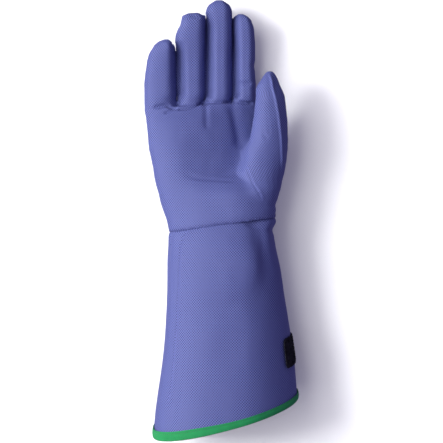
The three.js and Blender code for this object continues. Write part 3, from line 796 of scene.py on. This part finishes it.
def node_group(name, inputs, outputs):
    group = bpy.data.node_groups.new(name, "ShaderNodeTree")
    for label, kind, value in inputs:
        socket = group.interface.new_socket(label, in_out="INPUT", socket_type=kind)
        if value is not None:
            socket.default_value = value
    for label, kind in outputs:
        group.interface.new_socket(label, in_out="OUTPUT", socket_type=kind)
    return group, group.nodes.new("NodeGroupInput"), group.nodes.new("NodeGroupOutput")


def add(tree, kind, links=(), **settings):
    node = tree.nodes.new("ShaderNode" + kind)
    for key, value in settings.items():
        setattr(node, key, value)
    for socket, source in links:
        if isinstance(source, bpy.types.NodeSocket):
            tree.links.new(source, node.inputs[socket])
        else:
            node.inputs[socket].default_value = source
    return node


def maths(tree, operation, *values):
    return add(tree, "Math", list(enumerate(values)), operation=operation).outputs[0]


def wave_of(tree, source, turns):
    return maths(tree, "SINE", maths(tree, "MULTIPLY", source, turns))


def blended(tree, first, second, share):
    """The first value by its share and the second by the rest."""
    return maths(tree, "MULTIPLY_ADD", first, share, maths(tree, "MULTIPLY", second, 1 - share))


def new_material(name):
    material = bpy.data.materials.new(name)
    material.use_nodes = True
    return material, material.node_tree, material.node_tree.nodes["Principled BSDF"]


def noise_of(tree, scale, *more):
    here = add(tree, "TexCoord").outputs["Object"]
    return add(tree, "TexNoise", [("Vector", here), ("Scale", scale), *more]).outputs["Fac"]


def coloured(tree, shader, tone, dark, light):
    mix = add(tree, "Mix", [("Factor", tone)], data_type="RGBA")
    mix.inputs["A"].default_value, mix.inputs["B"].default_value = (*dark, 1), (*light, 1)
    tree.links.new(mix.outputs["Result"], shader.inputs["Base Color"])


def shaded(tree, shader, tone, dark, light):
    ramp = add(tree, "ValToRGB", [("Fac", tone)])
    for end, colour in zip(ramp.color_ramp.elements, (dark, light)):
        end.color = (*colour, 1)
    tree.links.new(ramp.outputs["Color"], shader.inputs["Base Color"])


def raised(tree, shader, height, strength, distance):
    bump = add(tree, "Bump", [("Height", height), ("Strength", strength), ("Distance", distance)])
    tree.links.new(bump.outputs["Normal"], shader.inputs["Normal"])


def patterned(tree, group):
    """A node group laid by the piece's weave map."""
    pattern = tree.nodes.new("ShaderNodeGroup")
    pattern.node_tree = group
    tree.links.new(add(tree, "UVMap", uv_map="weave").outputs["UV"], pattern.inputs["Place"])
    return pattern.outputs


def with_finish(shader, **values):
    for name, value in values.items():
        shader.inputs[name.replace("_", " ")].default_value = value


def dressed(piece, material):
    piece.data.materials.clear()
    piece.data.materials.append(material)


number_socket, vector_socket = "NodeSocketFloat", "NodeSocketVector"

# Rows of raised dots on slanting lines, where yarns cross, with the finer yarns between them
weave_group, given, result = node_group(
    "yarn_dots", [("Place", vector_socket, None), ("Pitch", number_socket, 2.5),
                  ("Yarn", number_socket, 0.42)],
    [("Dots", number_socket), ("Height", number_socket)])
tree = weave_group
parts = add(tree, "SeparateXYZ", [(0, given.outputs["Place"])])
turns = maths(tree, "DIVIDE", 2 * pi, given.outputs["Pitch"])
waves = [wave_of(tree, parts.outputs[axis], turns) for axis in (0, 1)]
dots = maths(tree, "MULTIPLY_ADD", maths(tree, "MULTIPLY", *waves), 0.5, 0.5)
yarn_turns = maths(tree, "DIVIDE", 2 * pi, given.outputs["Yarn"])
slants = [maths(tree, operation, parts.outputs[0], parts.outputs[1])
          for operation in ("ADD", "SUBTRACT")]
yarns = [wave_of(tree, slant, yarn_turns) for slant in slants]
fine = maths(tree, "MULTIPLY_ADD", maths(tree, "MULTIPLY", *yarns), 0.5, 0.5)
tree.links.new(dots, result.inputs["Dots"])
tree.links.new(blended(tree, fine, dots, 0.25), result.inputs["Height"])

blue, tree, shader = new_material("blue_cloth")
weave = patterned(tree, weave_group)
patches = noise_of(tree, 45.0, ("Detail", 4.0), ("Roughness", 0.65))
strength = add(tree, "MapRange", [("Value", patches), ("From Min", 0.36), ("From Max", 0.60),
                                  ("To Min", 0.2), ("To Max", 1.0)])
even = maths(tree, "SUBTRACT", weave["Dots"], 0.5)
tone = maths(tree, "MULTIPLY_ADD", even, strength.outputs["Result"], 0.5)
coloured(tree, shader, tone, dark=(0.012, 0.016, 0.092), light=(0.178, 0.210, 0.500))
raised(tree, shader, weave["Height"], 0.5, 0.12 * mm)
with_finish(shader, Roughness=0.62, Specular_IOR_Level=0.25, Sheen_Weight=0.08,
            Sheen_Roughness=0.4, Sheen_Tint=(0.6, 0.65, 1, 1))
for piece, nodes, fill in ((hand, hand_nodes, 0.6), (cuff, ("cuff",), 0.5)):
    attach(piece, "root")
    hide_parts(*nodes)
    dressed(piece, blue)

# The sewing thread: short blue stitches of twisted polyester in every seam, each one sunk a
# little in the cloth. The wrist seam's stitches lie across its groove.
stitch_length, stitch_gap, thread = 2.0 * mm, 0.8 * mm, 0.42 * mm
thread_flat, thread_up = 0.8, 0.12


def put_in(cloth, shape, matrix):
    before = len(cloth.verts)
    cloth.from_mesh(shape)
    cloth.verts.ensure_lookup_table()
    bmesh.ops.transform(cloth, matrix=matrix, verts=cloth.verts[before:])


def stitched(name, runs, material, across=False):
    """Short stitches along the runs, or lying across them, as one piece."""
    one = bmesh.new()
    bmesh.ops.create_uvsphere(one, u_segments=6, v_segments=5, radius=0.5)
    bmesh.ops.scale(one, vec=(thread, thread * thread_flat, stitch_length), verts=one.verts)
    shape = bpy.data.meshes.new("stitch")
    one.to_mesh(shape)
    one.free()
    row = bmesh.new()
    for path, facing in runs:
        along = lengths_along(path)
        for place_along in np.arange(stitch_length, along[-1], stitch_length + stitch_gap):
            spot = Vector([np.interp(place_along, along, path[:, axis]) for axis in range(3)])
            ahead = Vector([np.interp(place_along + stitch_gap, along, path[:, axis])
                            for axis in range(3)])
            number = min(int(np.searchsorted(along, place_along)), len(facing) - 1)
            normal = Vector(facing[number]).normalized()
            lie = ahead - spot
            if lie.length < 0.01 * mm:
                continue
            lie = (lie - normal * lie.dot(normal)).normalized()
            beside = lie.cross(normal).normalized()
            if across:
                lie, beside = beside, -lie
            turn = Matrix((beside, normal, lie)).transposed().to_4x4()
            put_in(row, shape, Matrix.Translation(spot + normal * thread * thread_up) @ turn)
    bpy.data.meshes.remove(shape)
    bmesh.ops.recalc_face_normals(row, faces=row.faces)
    stitches = finished(name, row)
    stitches.data.materials.append(material)
    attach(stitches, "root")


def thread_material(name, colour):
    material, tree, shader = new_material(name)
    shaded(tree, shader, noise_of(tree, 1400.0), [part * 0.6 for part in colour],
           [part * 1.5 for part in colour])
    with_finish(shader, Roughness=0.55, Sheen_Weight=0.2)
    return material


def relaid(tree, runs):
    """The paths laid again on the finished cloth."""
    again = []
    for path, facing in runs:
        rays = [(Vector(spot) + Vector(normal) * 4 * mm, -Vector(normal))
                for spot, normal in zip(path, facing)]
        again.append(laid(tree, rays, False))
    return again


blue_thread = thread_material("blue_thread", (0.10, 0.12, 0.40))
hand_tree, cuff_tree = tree_of(hand), tree_of(cuff)
stitched("hand_stitches", relaid(hand_tree, hand_seams + side_seams + [pad_seam]),
         blue_thread)
stitched("cuff_stitches", relaid(cuff_tree, cuff_side_seams), blue_thread)
dark_thread = thread_material("dark_thread", (0.035, 0.04, 0.17))
wrist_rays = []
for turn in np.linspace(-pi, pi, 420):
    out = (sin(turn), wrist_slope * sin(turn), cos(turn))
    start = Vector(wrist_middle) + Vector((0, 0.5 * mm, 0)) + Vector(out) * 0.2
    wrist_rays.append((start, -Vector(out)))
stitched("wrist_stitches", [laid(hand_tree, wrist_rays, False)], dark_thread, True)

# The hem binding: green woven tape, folded round the cuff's edge and sewn down near its own
# edge. Its ribs run across it.
binding = soft_copy("hem_tape", "hem_binding")
lay_weave(binding, ("hem_binding",))
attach(binding, "root")
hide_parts("hem_binding")
hem_middle = Vector((4.18, -179.4, 45.0)) * mm
hem_slopes = (0.29, -0.2)
tape_line = 4.3 * mm
tape_widening = 0.3
hem_rays = []
for turn in np.linspace(-pi, pi, 700):
    out = Vector((sin(turn), hem_slopes[0] * sin(turn) + hem_slopes[1] * cos(turn), cos(turn)))
    hem_rays.append((hem_middle + Vector((0, tape_line, 0)) + out * 0.2, -out))
tape_run = laid(tree_of(binding), hem_rays, False)
points, normals = points_of(binding), normals_of(binding)
pressed_in(points, normals, *tape_run, sewn(0.22, width=0.7, lift=0.12, closed=True), 3 * mm)


def tape_laid(points):
    """The tape is a little wider on the little finger's side."""
    level = hem_middle.y + hem_slopes[0] * (points[:, 0] - hem_middle.x)
    level += hem_slopes[1] * (points[:, 2] - hem_middle.z)
    wider = tape_widening * (1 - smooth_step(points[:, 0], -30 * mm, 20 * mm))
    points[:, 1] += wider * np.maximum(points[:, 1] - level, 0)
    cuff_formed(points)
    hem_turned(points)
    points[:, 2] = np.maximum(points[:, 2], 0)


tape_laid(points)
tape_laid(tape_run[0])
place(binding, points)

tape_ribs, given, result = node_group(
    "tape_ribs", [("Place", vector_socket, None), ("Pitch", number_socket, 0.9)],
    [("Rib", number_socket), ("Height", number_socket)])
tree = tape_ribs
parts = add(tree, "SeparateXYZ", [(0, given.outputs["Place"])])
turns = maths(tree, "DIVIDE", 2 * pi, given.outputs["Pitch"])
rib, cross = (maths(tree, "MULTIPLY_ADD", wave_of(tree, parts.outputs[axis], number), 0.5, 0.5)
              for axis, number in ((0, turns), (1, 9.0)))
tree.links.new(rib, result.inputs["Rib"])
tree.links.new(blended(tree, cross, rib, 0.3), result.inputs["Height"])
green, tree, shader = new_material("green_tape")
ribs = patterned(tree, tape_ribs)
tone = blended(tree, ribs["Rib"], noise_of(tree, 90.0, ("Detail", 3.0)), 0.5)
coloured(tree, shader, tone, dark=(0.007, 0.20, 0.050), light=(0.024, 0.37, 0.110))
raised(tree, shader, ribs["Height"], 0.6, 0.15 * mm)
with_finish(shader, Roughness=0.75, Specular_IOR_Level=0.25, Sheen_Weight=0.05)
dressed(binding, green)
stitched("hem_stitches", relaid(tree_of(binding), [tape_run]),
         thread_material("green_thread", (0.006, 0.09, 0.04)))

# The patch on the cuff's thumb side: black hook-and-loop tape, a woven base under a pile of
# nylon loops that fray at its edge
patch = soft_copy("patch_base", "hook_loop_tab")
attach(patch, "root")
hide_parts("hook_loop_tab")
patch_top, patch_length, patch_thinned = -103.5 * mm, 0.86, 0.9 * mm
points, normals = points_of(patch), normals_of(patch)
points[:, 0] -= patch_thinned * smooth_step(normals[:, 0], 0.2, 0.6)
points[:, 1] = patch_top + patch_length * (points[:, 1] - patch_top)
cuff_formed(points)
place(patch, points)
loop_count, loop_size, yarn = 1800, 0.6 * mm, 0.1 * mm
chance = np.random.default_rng(7)
one = bmesh.new()
bmesh.ops.create_circle(one, segments=3, radius=yarn)
bmesh.ops.rotate(one, verts=one.verts, matrix=Matrix.Rotation(pi / 2, 3, "X"))
bmesh.ops.translate(one, verts=one.verts, vec=(loop_size, 0, 0))
bmesh.ops.spin(one, geom=one.verts[:] + one.edges[:], cent=(0, 0, 0), axis=(0, 1, 0),
               angle=radians(-215), steps=6)
bmesh.ops.rotate(one, verts=one.verts, matrix=Matrix.Rotation(radians(-18), 3, "Y"))
bmesh.ops.holes_fill(one, edges=one.edges)
bmesh.ops.recalc_face_normals(one, faces=one.faces)
loop_shape = bpy.data.meshes.new("loop")
one.to_mesh(loop_shape)
one.free()
cuff_middle_x, cuff_middle_height, outward = cuff_x.mean(), 40 * mm, 0.3
faces = [face for face in patch.data.polygons
         if face.normal.dot((face.center - Vector((cuff_middle_x, face.center.y,
                                                   cuff_middle_height))).normalized()) > outward]
areas = np.array([face.area for face in faces])
chosen = chance.choice(len(faces), loop_count, p=areas / areas.sum())
pile = bmesh.new()
for number in chosen:
    face = faces[number]
    corners = [patch.data.vertices[v].co for v in face.vertices]
    s, t = chance.random(2)
    spot = corners[0].lerp(corners[1], s).lerp(corners[-1].lerp(corners[-2], s), t)
    normal = face.normal + Vector(chance.normal(0, 0.35, 3))
    turn = normal.to_track_quat("Z", "X").to_matrix().to_4x4() @ Matrix.Rotation(
        chance.uniform(0, 2 * pi), 4, "Z")
    size = Matrix.Diagonal((*(chance.uniform(0.6, 1.35, 3)), 1))
    put_in(pile, loop_shape, Matrix.Translation(spot) @ turn @ size)
bpy.data.meshes.remove(loop_shape)
patch_pile = finished("patch_loops", pile)
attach(patch_pile, "root")
black, tree, shader = new_material("black_nylon")
fuzz = noise_of(tree, 900.0)
shaded(tree, shader, fuzz, (0.002, 0.0022, 0.004), (0.030, 0.031, 0.040))
raised(tree, shader, fuzz, 0.7, 0.3 * mm)
with_finish(shader, Roughness=0.7, Specular_IOR_Level=0.2)
for piece in (patch, patch_pile):
    dressed(piece, black)

# The floor, light and camera of the studio
photo_scale = 0.92 * mm
photo_pixels = 443
camera_height = 2.2
sharp_height = 45 * mm
floor_cloth = bmesh.new()
bmesh.ops.create_grid(floor_cloth, x_segments=1, y_segments=1, size=8)
floor = finished("floor", floor_cloth)
paper, _, shader = new_material("pale_floor")
with_finish(shader, Base_Color=(0.88, 0.88, 0.88, 1), Roughness=0.9)
dressed(floor, paper)
floor.visible_diffuse = False
floor.visible_glossy = False


def hung(light, place, aim):
    lamp = bpy.data.objects.new(light.name, light)
    lamp.location = place
    lamp.rotation_euler = (Vector(aim) - Vector(place)).to_track_quat("-Z", "Y").to_euler()
    lamp.visible_camera = False
    bpy.context.scene.collection.objects.link(lamp)
    return lamp


def softbox(name, place, aim, size, power, colour=(1, 1, 1)):
    light = bpy.data.lights.new(name, "AREA")
    light.shape = "RECTANGLE"
    light.size, light.size_y = size
    light.energy = power
    light.color = colour
    return hung(light, place, aim)


window = (-1.0, 0.25, 1.05)
softbox("window_light", window, (0.05, 0.18, 0.03), (1.9, 1.9), 23.5)
softbox("low_light", (-1.3, 0.15, 0.24), (0, 0.05, 0.04), (1.5, 0.45), 9)
spot = bpy.data.lights.new("spot_light", "SPOT")
spot.energy = 166
spot.spot_size = radians(25)
spot.spot_blend = 1.0
spot.shadow_soft_size = 0.5
hung(spot, window, (0.0, 0.05, 0.03))
floor_lamp = softbox("floor_light", (0, 0, 2.6), (0, 0, 0), (3, 3), 18, (1, 1.02, 0.85))
floor_only = bpy.data.collections.new("floor_only")
floor_only.objects.link(floor)
floor_lamp.light_linking.receiver_collection = floor_only
world = bpy.data.worlds.new("studio")
world.use_nodes = True
with_finish(world.node_tree.nodes["Background"], Color=(0.62, 0.54, 1, 1), Strength=0.32)
bpy.context.scene.world = world
bpy.context.scene.view_settings.view_transform = "Standard"

lens = bpy.data.cameras.new("camera")
lens.sensor_width = 36
lens.angle = 2 * atan(photo_pixels * photo_scale / 2 / (camera_height - sharp_height))
camera = bpy.data.objects.new("camera", lens)
camera.location = (0.25 * photo_scale, -0.75 * photo_scale, camera_height)
bpy.context.scene.collection.objects.link(camera)
bpy.context.scene.camera = camera
